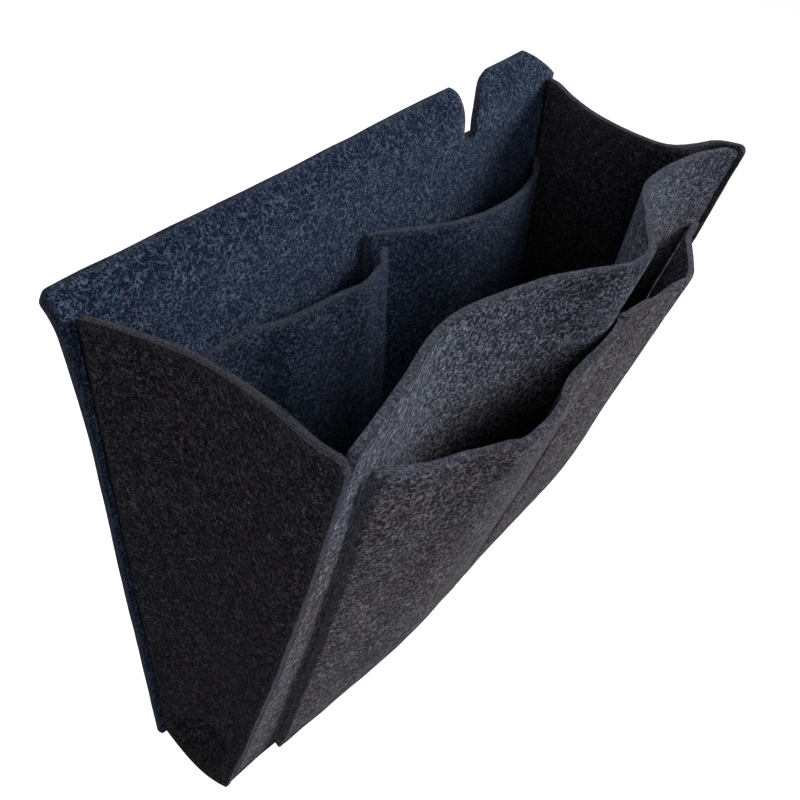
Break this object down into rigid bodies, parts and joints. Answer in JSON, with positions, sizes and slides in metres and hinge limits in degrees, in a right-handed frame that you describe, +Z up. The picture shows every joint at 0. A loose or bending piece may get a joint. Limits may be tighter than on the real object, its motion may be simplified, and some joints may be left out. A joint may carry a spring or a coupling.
{
  "type": "bedside caddy",
  "caption": "Hanging felt pouch for the side of a bed, with a wide open mouth, inner and outer pockets, a cable notch and a flap that tucks under the mattress.",
  "frame": {"origin": "middle of the flap's fold line on the back panel's rear face, where the caddy turns over the edge of the bed", "axes": "+X to the right as seen from the front, -Y the way the front faces, +Z up"},
  "size_m": [0.3056, 0.1375, 0.2607],
  "materials": {
    "charcoal_felt": "matte heathered felt",
    "lining_felt": "matte heathered felt, bluer",
    "pocket_felt": "matte heathered felt, warmer"
  },
  "bodies": {
    "pouch": {"back_panel": "lining_felt", "front_panel": "charcoal_felt", "left_gusset": "charcoal_felt", "right_gusset": "charcoal_felt", "bottom_panel": "charcoal_felt", "inner_pocket_right": "lining_felt", "inner_pocket_left": "lining_felt", "front_pocket_large": "pocket_felt", "front_pocket_small": "pocket_felt", "flap_sewn_margin": "charcoal_felt"},
    "flap": {"mattress_flap": "charcoal_felt"}
  },
  "joints": [
    {"name": "flap_fold", "type": "hinge", "parent": "pouch", "child": "flap", "pos_m": [0, 0.0033, 0], "axis": [1, 0, 0], "range_deg": [0, 90]}
  ]
}
